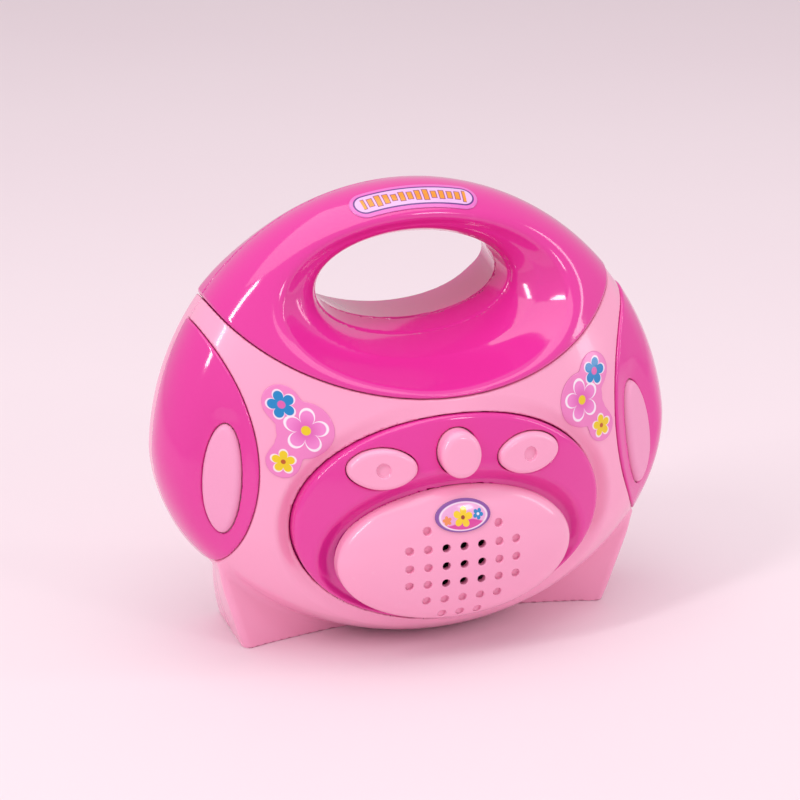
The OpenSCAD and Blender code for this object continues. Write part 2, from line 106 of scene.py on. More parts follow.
# Flowers: across, up, petal length. Lobes of the film under them: across, up, radius.
BLUE_FLOWER, BIG_FLOWER, YELLOW_FLOWER = (46.9, 77.3, 3.8), (41.3, 70.6, 6.1), (47.8, 62.0, 3.2)
STICKER_CENTRE = (43.9, 69.6)
STICKER_LOBES = [(46.8, 77.4, 5.1), (41.3, 70.5, 7.6), (47.7, 62.0, 4.6), (45.3, 66.2, 4.3)]
LABEL_HALF, LABEL_R = 19.1, 4.6            # half length and half height
LABEL_RISE, LABEL_REACH = 13.8, 73.0       # up from the parting plane, and out from the body's axis
BADGE_Z, BADGE_A, BADGE_B = 45.4, 8.2, 4.4

# ---- solid shapes as distance fields -----------------------------------------------


def round_max(a, b, r):
    """Where two shapes overlap, the edge rounded to r."""
    return np.minimum(-r, np.maximum(a, b)) + np.hypot(np.maximum(a + r, 0), np.maximum(b + r, 0))


def round_min(a, b, r):
    """Two shapes joined, the inner corner filled to r."""
    return -round_max(-a, -b, r)


def cut(a, b, r=0.01):
    """Shape a with b taken out, the new edge rounded to r."""
    return round_max(a, -b, r)


def smooth(t):
    """Soft step from 0 to 1."""
    t = np.clip(t, 0, 1)
    return t * t * (3 - 2 * t)


def oval(x, z, a, b):
    """Oval of half width a and half height b, close to true distance near its line."""
    k = np.hypot(x / a, z / b)
    return k * (k - 1) / (np.hypot(x / a**2, z / b**2) + 1e-6)


def facing(x, z, form):
    """One of the front view's ovals."""
    return oval(x, z - form[0], form[1], form[2])


def ball(x, y, z, r):
    """Egg with the three half sizes in r."""
    k = np.sqrt((x / r[0])**2 + (y / r[1])**2 + (z / r[2])**2)
    return k * (k - 1) / (np.sqrt((x / r[0]**2)**2 + (y / r[1]**2)**2 + (z / r[2]**2)**2) + 1e-6)


def lean_depth(y, z):
    """Depth in front of the leaning parting plane."""
    return z * math.sin(LEAN) - (y - LEAN_Y) * math.cos(LEAN)


def lean_height(y, z):
    """Height along the leaning parting plane."""
    return (y - LEAN_Y) * math.sin(LEAN) + z * math.cos(LEAN)


def cap_radius(bulge):
    """Radius of the wide cap arc that runs into the rim arc."""
    return (RIM_C**2 + bulge**2 - RIM_R**2) / (2 * (bulge - RIM_R))


def cap_depth(rho, bulge):
    """Depth of the wide cap arc at a distance from the axis."""
    cap = cap_radius(bulge)
    return bulge - cap + np.sqrt(np.maximum(cap**2 - rho**2, 1))


def body(x, y, z):
    """The leaning round body: a wide cap arc that runs into a rim arc, flattened below by a drum."""
    depth, up = lean_depth(y, z), lean_height(y, z)
    rho = np.hypot(x, up - FORM_Z)
    bulge = np.where(depth > 0, FRONT_H, REAR_H)
    cap = cap_radius(bulge)
    base = bulge - cap
    a = np.abs(depth)
    on_cap = RIM_C * (a - base) + base * rho > 0
    form = np.where(on_cap, np.hypot(rho, a - base) - cap, np.hypot(rho - RIM_C, a) - RIM_R)
    form = form - REAR_FULL * smooth(-depth / 9) * (1 - smooth((z - 100) / 20))
    rho = np.hypot(x, up - UNDER_Z)
    level = UNDER_R - UNDER_ROUND
    drum = np.where(rho < level, a, np.hypot(np.maximum(rho - level, 0), depth)) - UNDER_ROUND
    return round_max(form, drum, 6)


def foot(x, y, z):
    """Foot that widens upwards and narrows to the back, its front hollowed by a wide arc."""
    side = (np.abs(x) - FOOT_HALF_W - (FOOT_TOP_W - FOOT_HALF_W) * z / FOOT_TOP) * 0.958
    taper = (np.abs(x) - 66 + (y - FOOT_FRONT + 10) * 0.2) * 0.98
    front = (FOOT_FRONT - 5.5 * z / FOOT_TOP - y) * 0.984
    hollow = 190 - np.hypot(x, y - FOOT_FRONT - 8 + 190)
    ends = round_max(side, taper, 2)
    return np.maximum(round_max(round_max(ends, np.maximum(front, hollow), 2.6),
                                y - FOOT_FRONT - FOOT_DEPTH, 3), z - FOOT_TOP)


def dent(x, z):
    """Shallow recess of the case round the front panel, deeper towards its two ends."""
    d = facing(x, z, PANEL)
    return 3.2 * np.clip(np.abs(x) / PANEL[1], 0, 1)**1.3 * (1 - smooth((d - 0.2) / 5.2))


def case(x, y, z, blend=2.2):
    """Body and foot together, the corner between them filled unless blend is nothing."""
    form = body(x, y, z) + np.where(lean_depth(y, z) > 0, dent(x, z), 0)
    joined = round_min(form, foot(x, y, z), blend) if blend else np.minimum(form, foot(x, y, z))
    return np.maximum(joined, -z)


def hood(x, z):
    """Front-view outline of the handle: an oval that opens upwards."""
    return np.where(z < HOOD[0], facing(x, z, HOOD), np.abs(x) - HOOD[1])


def side_outline(x, z):
    """Front-view outline of the two side panels."""
    arc = np.hypot(np.abs(x) - SIDE_C[0], z - SIDE_C[1]) - SIDE_R
    return round_max(round_max(arc, SIDE_Z[0] - z, 1.5), z - SIDE_Z[1], 1.5)


def front_part(y, z):
    """Negative in the part of space that belongs to the front mouldings."""
    return np.minimum(-lean_depth(y, z), np.maximum(y - FOOT_SEAM, z - 27))


def post(x, y, z, at, r, y0, y1):
    """Pair of round posts along the depth, left and right."""
    ring = np.hypot(np.abs(x) - at[0], z - at[2]) - r
    return np.maximum(ring, np.maximum(at[1] + y0 - y, y - at[1] - y1))


def block(x, y, z, low, high):
    """Box between two corners."""
    mid = [(p + q) / 2 for p, q in zip(low, high)]
    half = [(q - p) / 2 for p, q in zip(low, high)]
    return np.maximum(np.maximum(np.abs(x - mid[0]) - half[0], np.abs(y - mid[1]) - half[1]),
                      np.abs(z - mid[2]) - half[2])


def side_seat(x, y, z):
    """Recess of the shells that a side panel lies in."""
    ahead = -1.5 - GAP - lean_depth(y, z)
    return np.maximum(np.maximum(side_outline(x, z) - GAP, -1.9 - body(x, y, z)), ahead)


# ---- mouldings -------------------------------------------------------------------------


def front_shell(x, y, z):
    """Front of the case, thicker under the side panels, with posts for the case screws."""
    outer = case(x, y, z)
    wall = WALL + 2 * (side_outline(x, z) < 1.5)
    solid = np.maximum(outer, -case(x, y, z, 0) - wall)
    for at in CASE_BOSSES:
        solid = np.minimum(solid, np.maximum(outer + 1, post(x, y, z, at, 3.6, -60, 0)))
    solid = round_max(solid, front_part(y, z) + GAP / 2, 0.3)
    solid = cut(solid, hood(x, z) - GAP, 0.5)
    window = np.maximum(facing(x, z, PANEL) - GAP, y - FOOT_FRONT - 1)
    solid = cut(solid, window, 0.5)
    solid = cut(solid, side_seat(x, y, z), 0.4)
    for at in CASE_BOSSES:
        solid = np.maximum(solid, -post(x, y, z, at, PILOT_R, -10, 1))
    return solid


def cover_outline(x, z):
    low, high = COVER_Z
    return round_max(np.abs(x) - COVER_W, np.abs(z - (low + high) / 2) - (high - low) / 2, 3)


def battery_tray(x, y, z):
    """Open box round the two cells."""
    floor = [v + TRAY_WALL for v in TRAY_LOW]
    top = (TRAY_HIGH[0] - TRAY_WALL, TRAY_HIGH[1] + 1, TRAY_HIGH[2] - TRAY_WALL)
    return np.maximum(block(x, y, z, TRAY_LOW, TRAY_HIGH), -block(x, y, z, floor, top))


def rear_shell(x, y, z):
    """Back of the case: ledge of the battery opening, cell tray and sunk screw bosses."""
    outer = case(x, y, z)
    cover = cover_outline(x, z)
    solid = np.maximum(outer, -case(x, y, z, 0) - WALL)
    ledge = np.maximum(np.maximum(cover - 2, -cover - 2), 15 - y)
    solid = np.minimum(solid, np.maximum(np.maximum(outer + 1, -outer - WALL - 2), ledge))
    for at in CASE_BOSSES:
        solid = np.minimum(solid, np.maximum(outer + 1, post(x, y, z, at, 4.6, 0, 60)))
    solid = np.minimum(solid, np.maximum(battery_tray(x, y, z), outer + 1))
    solid = np.minimum(solid, post(x, y, z, COVER_SCREW, 2.9, -15, -2.9))
    solid = round_max(solid, GAP / 2 - front_part(y, z), 0.3)
    solid = cut(solid, hood(x, z) - GAP, 0.5)
    solid = cut(solid, side_seat(x, y, z), 0.4)
    for at in CASE_BOSSES:
        solid = cut(solid, post(x, y, z, at, 3.4, 3, 60), 0.3)
        solid = np.maximum(solid, -post(x, y, z, at, CLEAR_R, -1, 60))
    room = np.maximum(np.maximum(cover, -outer - WALL - 0.35), FOOT_SEAM - y)
    solid = cut(solid, room, 0.3)
    solid = np.maximum(solid, -post(x, y, z, COVER_SCREW, 3.8, -2.9, 20))
    return np.maximum(solid, -post(x, y, z, COVER_SCREW, 1.3, -14, 1))


def battery_cover(x, y, z):
    """Hatch in the back with a sunk boss for each of its two screws."""
    outer = case(x, y, z)
    shape = np.minimum(np.maximum(outer, -outer - WALL),
                       np.maximum(outer, post(x, y, z, COVER_SCREW, 3.4, -2.5, 20)))
    shape = round_max(shape, cover_outline(x, z) + 0.35, 0.4)
    shape = np.maximum(shape, FOOT_SEAM + 4 - y)
    shape = cut(shape, post(x, y, z, COVER_SCREW, 3.0, 0, 20), 0.3)
    return np.maximum(shape, -post(x, y, z, COVER_SCREW, 1.35, -20, 20))


def hand_hole(x, y, z):
    """Oval tunnel that opens out towards the front and the back."""
    depth = lean_depth(y, z)
    ahead = np.maximum(depth, 0)
    half_w = HAND[1] + 0.11 * ahead + 0.16 * np.maximum(-depth, 0)
    return oval(x, z - HAND[0] + 0.07 * ahead, half_w, HAND[2] + 0.19 * ahead)


def funnel(x, y, z):
    """Cove from the ridge down to the hand hole, with a soft step half way; a plain dish at the back."""
    depth, up = lean_depth(y, z), lean_height(y, z)
    lip = np.hypot(x / LIP[1], (up - LIP[0]) / LIP[2])
    ridge = np.hypot(x / RIDGE[1], (up - RIDGE[0]) / RIDGE[2])
    share = np.clip((lip - 1) / np.maximum(lip - ridge, 0.08), -0.4, 2)
    past = share - 0.56
    cove = np.where(past < 0, 0.795 * share, 0.445 + 0.5 * past + 1.73 * past**2)
    floor = LIP_DEPTH + (cap_depth(np.hypot(x, up - FORM_Z), FRONT_H) - LIP_DEPTH) * cove
    rear = ball(x, depth + 44, up - 101, (46, 26, 23))
    return np.where(depth > 0, np.where(lip < 1.02, LIP_DEPTH - depth, (floor - depth) * 0.55), rear)


def handle(x, y, z):
    """Hollow loop handle, with a lip inside the shells' edge."""
    outer = body(x, y, z) - 0.6
    tunnel = np.minimum(funnel(x, y, z), hand_hole(x, y, z))
    edge = hood(x, z) + 0.1
    hollow = np.maximum(np.maximum(outer + WALL + 0.6, WALL - tunnel), edge + 0.5)
    hollow = np.maximum(hollow, -post(x, y, z, HANDLE_BOSS, 3.8, -60, 60))
    solid = cut(round_max(outer, edge, 1.1), funnel(x, y, z), 2.2)
    solid = cut(solid, hand_hole(x, y, z), 1.6)
    solid = np.maximum(solid, -hollow)
    lip = np.maximum(np.maximum(outer + 2.8, -outer - 4.8), np.maximum(edge - 4, -edge - 4))
    return np.minimum(solid, np.maximum(lip, 0.5 - tunnel))


def handle_front(x, y, z):
    solid = round_max(handle(x, y, z), HANDLE_GAP - lean_depth(y, z), 0.3)
    return np.maximum(solid, -post(x, y, z, HANDLE_BOSS, PILOT_R, -12, 20))


def handle_rear(x, y, z):
    solid = round_max(handle(x, y, z), lean_depth(y, z) + HANDLE_GAP, 0.3)
    solid = cut(solid, post(x, y, z, HANDLE_BOSS, 3.2, 3, 60), 0.3)
    return np.maximum(solid, -post(x, y, z, HANDLE_BOSS, CLEAR_R, -20, 60))


def insert_prism(x, y, z):
    """Oval whose axis points out of the body, to the front and the side."""
    side = (x - INSERT_C[0]) * math.sin(INSERT_TURN) + (y - INSERT_C[1]) * math.cos(INSERT_TURN)
    return oval(side, z - INSERT_C[2], INSERT_A, INSERT_B)


def side_panel(x, y, z):
    """Side moulding, its skin dished softly towards the seat of the insert."""
    spot = insert_prism(x, y, z)
    outer = body(x, y, z) - 0.5 + 1.2 * np.exp(-(np.maximum(spot, 0) / 4.2)**2)
    solid = round_max(outer, side_outline(x, z), 1.0)
    solid = round_max(solid, -1.4 - lean_depth(y, z), 0.6)
    solid = cut(solid, spot - 0.25, 0.5)
    return np.maximum(solid, -body(x, y, z) - 1.8)


def side_insert(x, y, z):
    solid = round_max(body(x, y, z) - 0.35, insert_prism(x, y, z), 1.6)
    return np.maximum(solid, -body(x, y, z) - 1.6)


def key_outline(x, z):
    """Almond outline of one oval key."""
    r = (KEY_A**2 + KEY_B**2) / (2 * KEY_B)
    lens = round_max(np.hypot(x, z + r - KEY_B) - r, np.hypot(x, z - r + KEY_B) - r, 2.4)
    return 0.55 * lens + 0.45 * oval(x, z, KEY_A, KEY_B)


def keys(x, z):
    return np.minimum(key_outline(np.abs(x) - KEY_X, z - KEY_Z), oval(x, z - KNOB_Z, KNOB_A, KNOB_B))


def moat_floor(outer, ring, window):
    """Negative in front of the groove's floor."""
    share = smooth((MOAT_W - ring) / (MOAT_W - 0.8)) * smooth(0.3 - window / 4)
    return 0.7 - (MOAT_DEPTH + 0.7) * share - outer


def front_panel(x, y, z):
    """Oval panel: groove and flat seat of the grille, key openings, board posts and a tucked edge."""
    outer = body(x, y, z)
    ring, window = facing(x, z, DOME), facing(x, z, PANEL)
    moat = moat_floor(outer, ring, window)
    seat = np.maximum(ring - 0.1, y - DOME_BACK - 0.05)
    skin = round_max(outer - 0.4, window + 0.12, 1.3)
    face = np.maximum(cut(skin, moat * 0.8, 0.8), -seat)
    pan = np.maximum(ring - 8, np.minimum(-MOAT_DEPTH - 1.8 - outer, y - DOME_BACK - 1.4))
    hollow = np.maximum(outer + WALL, -pan)
    hollow = np.maximum(hollow, -np.maximum(keys(x, z) - 1.6, y - FOOT_FRONT + 14))
    posts = post(x, y, z, BOARD_POST, 2.6, -60, 0)
    solid = np.maximum(face, -hollow)
    solid = np.minimum(solid, np.maximum(posts, outer + MOAT_DEPTH + 1))
    skirt = np.maximum(np.maximum(window + 0.12, -window - 1.9), np.maximum(outer + 1, -outer - 6.4))
    shell = case(x, y, z)
    tuck = np.maximum(np.maximum(shell + 2.2, -shell - 3.6), np.maximum(window - 3, -window - 1.9))
    solid = np.minimum(solid, np.maximum(np.minimum(skirt, tuck), -moat))
    solid = np.maximum(solid, y - np.where(posts < 0.1, BOARD_Y, FOOT_FRONT - 3.5))
    solid = np.maximum(solid, -np.hypot(x, z - SPEAKER_Z) + SPEAKER_R)
    return cut(solid, keys(x, z) - 0.25, 0.5)


def dome(x, y, z):
    return ball(x, y - DOME_BACK, z - DOME[0], (DOME[1], DOME_H, DOME[2]))


def dome_face(x, z):
    """Y of the dome's front skin."""
    share = 1 - (x / DOME[1])**2 - ((z - DOME[0]) / DOME[2])**2
    return DOME_BACK - DOME_H * np.sqrt(np.maximum(0, share))


def speaker_grille(x, y, z):
    """Domed grille with a rim, nine through holes in the middle and blind ones round them."""
    solid = np.maximum(dome(x, y, z), y - DOME_BACK)
    solid = np.maximum(solid, -dome(x, y, z) - GRILLE_WALL)
    ring = facing(x, z, DOME)
    wall = np.maximum(DOME_BACK - 0.5 - y, 0.1 - MOAT_DEPTH - body(x, y, z))
    solid = np.minimum(solid, np.maximum(np.maximum(ring, -ring - 1.8), wall))
    for row, columns in enumerate(HOLE_ROWS):
        for column in columns:
            cx, cz = column * HOLE_PITCH, HOLE_TOP - row * HOLE_PITCH
            through = abs(column) <= 1 and 1 <= row <= 3
            floor = 0 if through else dome_face(cx, cz) + DIMPLE
            hole = np.maximum(np.hypot(x - cx, z - cz) - HOLE_R, y - floor)
            solid = cut(solid, hole, 0.22)
    return solid


def stem(x, y, z, at, travel):
    """Flange and stem behind a key's head, down to its switch."""
    flange = np.maximum(KEY_BACK - 0.5 - y, y - KEY_BACK - 1)
    rod = np.maximum(np.hypot(x - at[0], z - at[1]) - 2,
                     np.maximum(KEY_BACK - y, y - BOARD_Y + 4.6 + travel))
    return flange, rod


def oval_key(x, y, z, side):
    """Almond key with a small round dent in its face."""
    outer = body(x, y, z)
    edge = key_outline(x - side * KEY_X, z - KEY_Z)
    flange, rod = stem(x, y, z, (side * KEY_X, KEY_Z), KEY_TRAVEL)
    head = round_max(outer - KEY_RISE, edge, 1.5)
    spot = np.hypot(x - side * KEY_X, z - KEY_Z) - 2.0
    head = cut(head, round_max(spot, 0.95 - outer, 0.4), 0.25)
    head = np.maximum(head, y - KEY_BACK)
    return np.minimum(np.minimum(head, np.maximum(edge - 1.3, flange)), rod)


def left_key(x, y, z):
    return oval_key(x, y, z, -1)


def right_key(x, y, z):
    return oval_key(x, y, z, 1)


def centre_key(x, y, z):
    edge = oval(x, z - KNOB_Z, KNOB_A, KNOB_B)
    flange, rod = stem(x, y, z, (0, KNOB_Z), KNOB_TRAVEL)
    head = round_max(body(x, y, z) - KNOB_RISE, edge, 2.0)
    head = np.maximum(head, y - KEY_BACK)
    return np.minimum(np.minimum(head, np.maximum(edge - 1.3, flange)), rod)


# ---- from a field to a mesh ---------------------------------------------------------


def corner(cells, values, points, at):
    """Values and places of one corner of the given cells."""
    i = tuple(c + o for c, o in zip(cells, at))
    return values[i], np.stack([points[k][i[k]] for k in range(3)], axis=1)


def net(field, low, high, step):
    """Closed quad mesh of the surface where field is zero, one vertex in each cell that it crosses."""
    axes = [np.arange(a - 2 * step, b + 3 * step, step) for a, b in zip(low, high)]
    values = field(axes[0][:, None, None], axes[1][None, :, None], axes[2][None, None, :])
    inside = values < 0
    corners = [(i, j, k) for i in (0, 1) for j in (0, 1) for k in (0, 1)]
    across, deep, tall = [n - 1 for n in inside.shape]
    count = np.zeros((across, deep, tall), np.int8)
    for i, j, k in corners:
        count += inside[i:i + across, j:j + deep, k:k + tall]
    cells = np.nonzero((count > 0) & (count < len(corners)))
    number = np.full(count.shape, -1, np.int64)
    number[cells] = np.arange(len(cells[0]))
    known = {c: corner(cells, values, axes, c) for c in corners}
    total, hits = np.zeros((len(cells[0]), 3)), np.zeros(len(cells[0]))
    for a in corners:
        for k in range(3):
            if a[k]:
                continue
            b = tuple(1 if m == k else a[m] for m in range(3))
            (fa, pa), (fb, pb) = known[a], known[b]
            crossed = (fa < 0) != (fb < 0)
            t = np.where(crossed, fa / np.where(crossed, fa - fb, 1), 0)
            total += (pa + (pb - pa) * t[:, None]) * crossed[:, None]
            hits += crossed
    vertices = total / hits[:, None]
    quads = []
    for k in range(3):
        u, v = (k + 1) % 3, (k + 2) % 3
        start = [slice(1, -1)] * 3
        start[k] = slice(0, -1)
        end = list(start)
        end[k] = slice(1, None)
        change = inside[tuple(start)] != inside[tuple(end)]
        at = np.array(np.nonzero(change))
        at[u] += 1
        at[v] += 1
        begins = inside[tuple(at)]
        back_u, back_v = np.eye(3, dtype=int)[[u, v]][:, :, None]
        ring = np.stack([number[tuple(at - back_u - back_v)], number[tuple(at - back_v)],
                         number[tuple(at)], number[tuple(at - back_u)]], axis=1)
        ring[~begins] = ring[~begins][:, ::-1]
        quads.append(ring)
    return vertices, np.concatenate(quads)


def slope(field, points, h=0.05):
    """Steepness of the field along each axis."""
    rise = []
    for k in range(3):
        ahead, behind = points.copy(), points.copy()
        ahead[:, k] += h
        behind[:, k] -= h
        rise.append((field(*ahead.T) - field(*behind.T)) / (2 * h))
    return np.stack(rise, axis=1)


def settle(field, points, step):
    """Moves points onto the surface and gives the surface's direction there."""
    for _ in range(2):
        rise = slope(field, points)
        steep = np.maximum((rise**2).sum(axis=1), 0.2)
        move = (field(*points.T) / steep)[:, None] * rise
        size = np.sqrt((move**2).sum(axis=1))[:, None]
        points = points - move * np.minimum(1, 0.4 * step / np.maximum(size, 1e-9))
    rise = slope(field, points, 0.12)
    return points, rise / np.maximum(np.sqrt((rise**2).sum(axis=1))[:, None], 1e-9)


def mesh_object(name, vertices, faces, normals=None):
    mesh = bpy.data.meshes.new(name)
    if isinstance(faces, np.ndarray):
        faces = faces.tolist()
    mesh.from_pydata((np.asarray(vertices) * MM).tolist(), [], faces)
    mesh.update()
    mesh.polygons.foreach_set("use_smooth", np.ones(len(mesh.polygons), bool))
    if normals is not None:
        mesh.normals_split_custom_set_from_vertices(normals.tolist())
    piece = bpy.data.objects.new(name, mesh)
    bpy.context.scene.collection.objects.link(piece)
    return piece


def moulded(name, field, low, high, step, mirrored=False):
    """Mesh of one field between two corners, or its mirror image."""
    vertices, faces = net(field, low, high, step)
    vertices, normals = settle(field, vertices, step)
    if mirrored:
        vertices, normals, faces = vertices * (-1, 1, 1), normals * (-1, 1, 1), faces[:, ::-1]
    return mesh_object(name, vertices, faces, normals)


def screw(head_r, shaft_r, length):
    """Cross-head self-tapping screw along the depth, its head's seat at the origin."""
    def field(x, y, z):
        r = np.hypot(x, z)
        head = round_max(r - head_r, np.abs(y - 0.9) - 0.9, 0.4)
        wide, tall = np.abs(x), np.abs(z)
        cross = np.minimum(np.maximum(wide - 0.42, tall - 1.6), np.maximum(tall - 0.42, wide - 1.6))
        head = cut(head, np.maximum(cross, 0.7 - y), 0.12)
        thread = 0.13 * np.cos(2 * math.pi * y / 0.95 - np.arctan2(z, x)) * (y < -0.6)
        core = r - (shaft_r - 0.1 + thread) * np.clip((y + length) / 1.6, 0.1, 1)
        return np.minimum(head, np.maximum(core, np.maximum(-length - y, y - 0.5)))
    return field


def screws(node, head_r, shaft_r, length, places, rides="case"):
    """Copies of one screw, left and right, at each place."""
    field, reach = screw(head_r, shaft_r, length), head_r + 0.3
    shape, faces = net(field, (-reach, -length - 0.3, -reach), (reach, 2.1, reach), SCREW_STEP)
    shape, normals = settle(field, shape, SCREW_STEP)
    spots = [(side * at[0], at[1], at[2]) for at in places for side in (-1, 1)]
    everything = np.concatenate([shape + spot for spot in spots])
    faces = np.concatenate([faces + k * len(shape) for k in range(len(spots))])
    piece = mesh_object(node + "_turned", everything, faces, np.tile(normals, (len(spots), 1)))
    settle_in(piece, node, "plated_steel", rides)


def circle(points):
    """Angles of evenly spread points round a circle."""
    return np.arange(points) * 2 * math.pi / points


def wire(start, radii, rise, turns, thick, sides=10, steps=26):
    """Coil of round wire round an axis along X, from start, widening and moving by rise."""
    t = np.linspace(0, 1, int(turns * steps) + 1)
    angle, r = 2 * math.pi * turns * t, radii[0] + (radii[1] - radii[0]) * t
    path = np.stack([start[0] + rise * t, start[1] + r * np.cos(angle), start[2] + r * np.sin(angle)], axis=1)
    out = np.stack([0 * t, np.cos(angle), np.sin(angle)], axis=1)
    turn = circle(sides)
    ring = out[:, None] * np.cos(turn)[None, :, None] + np.array([1.0, 0, 0]) * np.sin(turn)[None, :, None]
    points = (path[:, None] + thick * ring).reshape(-1, 3)
    last = (len(t) - 1) * sides
    faces = []
    for a in range(last):
        b = a + 1 if (a + 1) % sides else a + 1 - sides
        faces.append((a, b, b + sides, a + sides))
    return points, faces + [tuple(range(sides))[::-1], tuple(last + i for i in range(sides))]


def contact_coils():
    """Conical coils behind the flat ends of the two cells."""
    points, faces = [], []
    for node in ("battery_lower", "battery_upper"):
        low, high = [np.array(v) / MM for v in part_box(node)]
        start = (low[0] - 0.5, (low[1] + high[1]) / 2, (low[2] + high[2]) / 2)
        more, sides = wire(start, (2.4, 4.8), -6.7, 4.6, 0.42)
        faces += [tuple(i + len(points) for i in f) for f in sides]
        points += more.tolist()
    return mesh_object("contact_coils", points, faces)


# ---- thin films laid on a surface ------------------------------------------------------


def front_of(field, x, z, start=-60.0, end=20.0):
    """Depth at which a line along +Y first meets the surface, for many points of the front view."""
    low, high = np.full(len(x), start), np.full(len(x), end)
    steps = np.linspace(start, end, 161)
    found = np.zeros(len(x), bool)
    for a, b in zip(steps[:-1], steps[1:]):
        hit = ~found & (field(x, np.full(len(x), b), z) < 0)
        low[hit], high[hit] = a, b
        found |= hit
    for _ in range(24):
        mid = (low + high) / 2
        inside = field(x, mid, z) < 0
        high, low = np.where(inside, mid, high), np.where(inside, low, mid)
    return (low + high) / 2


def film(name, field, place, outline, centre, thick=0.3, crown=0.0, rings=14):
    """Thin film with a rounded edge over a surface; place puts flat points onto that surface."""
    outline, centre = np.asarray(outline, float), np.asarray(centre, float)
    n = len(outline)
    share = [math.sin(math.pi / 2 * k / rings) for k in range(1, rings + 1)]
    flat = np.concatenate([centre[None]] + [centre + (outline - centre) * s for s in share])
    places = place(flat[:, 0], flat[:, 1])
    out = slope(field, places)
    out /= np.sqrt((out**2).sum(axis=1))[:, None]
    reach = np.concatenate([[0], np.repeat(share, n)])
    lift = thick + crown * (1 - reach**2)
    lift[-n:] = thick * 0.3
    lift[-2 * n:-n] = thick * 0.92 + crown * (1 - share[-2]**2)
    top, low = places + out * lift[:, None], places - out * 0.15
    faces = [(0, 1 + (i + 1) % n, 1 + i) for i in range(n)]
    for k in range(rings - 1):
        a, b = 1 + k * n, 1 + (k + 1) * n
        faces += [(a + i, a + (i + 1) % n, b + (i + 1) % n, b + i) for i in range(n)]
    count = len(top)
    under = [tuple(count + i for i in reversed(f)) for f in faces]
    last = count - n
    rim = [(last + (i + 1) % n, last + i, count + last + i, count + last + (i + 1) % n) for i in range(n)]
    return mesh_object(name, np.concatenate([top, low]), faces + under + rim)


# ---- shader building ---------------------------------------------------------------------


class Signal:
    """One value of a material, with Python's own arithmetic."""

    def __init__(self, finish, socket):
        self.finish, self.socket = finish, socket

    def maths(self, operation, *others, clamp=False):
        settings = {"operation": operation, "use_clamp": clamp}
        node = self.finish.node("ShaderNodeMath", settings, dict(enumerate((self,) + others)))
        return Signal(self.finish, node.outputs[0])

    def __add__(self, other):
        return self.maths("ADD", other)

    def __sub__(self, other):
        return self.maths("SUBTRACT", other)

    def __mul__(self, other):
        return self.maths("MULTIPLY", other)

    def __truediv__(self, other):
        return self.maths("DIVIDE", other)

    def __pow__(self, other):
        return self.maths("POWER", other)

    def __abs__(self):
        return self.maths("ABSOLUTE")

    def __rsub__(self, other):
        return self * -1 + other

    __radd__, __rmul__ = __add__, __mul__

    def least(self, other):
        return self.maths("MINIMUM", other)

    def most(self, other):
        return self.maths("MAXIMUM", other)

    def below(self, limit, soft):
        """1 where this is under the limit, 0 above it, with an edge soft wide."""
        return ((limit - self) / soft).maths("ADD", 0.5, clamp=True)

    def above(self, limit, soft):
        return ((self - limit) / soft).maths("ADD", 0.5, clamp=True)


class Finish:
    """One procedural material."""

    def __init__(self, name):
        self.material = bpy.data.materials.new(name)
        self.material.use_nodes = True
        self.tree = self.material.node_tree
        self.tree.nodes.clear()
        self.shader = self.node("ShaderNodeBsdfPrincipled")
        self.node("ShaderNodeOutputMaterial", {}, {"Surface": self.shader.outputs[0]})
        self.place = self.node("ShaderNodeTexCoord").outputs["Object"]

    def node(self, kind, settings=None, inputs=None):
        node = self.tree.nodes.new(kind)
        for key, value in (settings or {}).items():
            setattr(node, key, value)
        for key, value in (inputs or {}).items():
            self.feed(node.inputs[key], value)
        return node

    def feed(self, socket, value):
        if isinstance(value, Signal):
            value = value.socket
        if isinstance(value, bpy.types.NodeSocket):
            self.tree.links.new(value, socket)
        elif socket.type == "RGBA":
            socket.default_value = (*value, 1)
        else:
            socket.default_value = value

    def set(self, **inputs):
        for key, value in inputs.items():
            self.feed(self.shader.inputs[key.replace("_", " ").title()], value)

    def grain(self, scale, detail=2.0, roughness=0.5):
        noise = self.node("ShaderNodeTexNoise", {}, {
            "Vector": self.place, "Scale": scale, "Detail": detail, "Roughness": roughness})
        return Signal(self, noise.outputs["Fac"])

    def axes(self):
        """The place in millimetres, axis by axis."""
        split = self.node("ShaderNodeSeparateXYZ", {}, {0: self.place})
        return [Signal(self, split.outputs[k]) * 1000 for k in range(3)]

    def colours(self, factor, a, b):
        mix = self.node("ShaderNodeMix", {"data_type": "RGBA"}, {0: factor, 6: a, 7: b})
        return Signal(self, mix.outputs[2])

    def bump(self, height, strength, distance=0.0002):
        node = self.node("ShaderNodeBump", {}, {"Height": height, "Strength": strength, "Distance": distance})
        self.feed(self.shader.inputs["Normal"], node.outputs[0])

    def edges(self):
        """1 on the outer edges, where a highlight is painted into the plastic's colour."""
        point = self.node("ShaderNodeNewGeometry").outputs["Pointiness"]
        return Signal(self, point).above(0.56, 0.08)


def linear(c):
    """Linear share of one channel given from 0 to 255."""
    return c / 255 / 12.92 if c <= 10 else ((c / 255 + 0.055) / 1.055)**2.4


def tone(red, green, blue):
    """Linear colour from the usual 0 to 255 values."""
    return linear(red), linear(green), linear(blue)


# ---- finishes ----------------------------------------------------------------------------


def gloss_plastic(name, main, deep, painted_highlight, roughness, coat):
    """Glossy moulded plastic: slow colour drift, faint handling marks, a painted highlight on sharp edges and
    a very fine orange peel.
    """
    f = Finish(name)
    drift = f.grain(22, 3)
    smears = f.grain(85, 6, 0.62)
    dust = f.grain(900, 3)
    colour = f.colours(drift.above(0.5, 0.5) * 0.5, main, deep)
    # Painted highlight: sharp outer edges are mixed towards the lighter colour.
    colour = f.colours(f.edges() * 0.15, colour, painted_highlight)
    f.set(base_color=colour, roughness=smears * 0.10 + dust * 0.05 + (roughness - 0.07),
          coat_weight=coat, coat_roughness=0.04)
    f.bump(f.grain(700, 2) + f.grain(160, 2) * 2.0, 0.04)
    return f.material


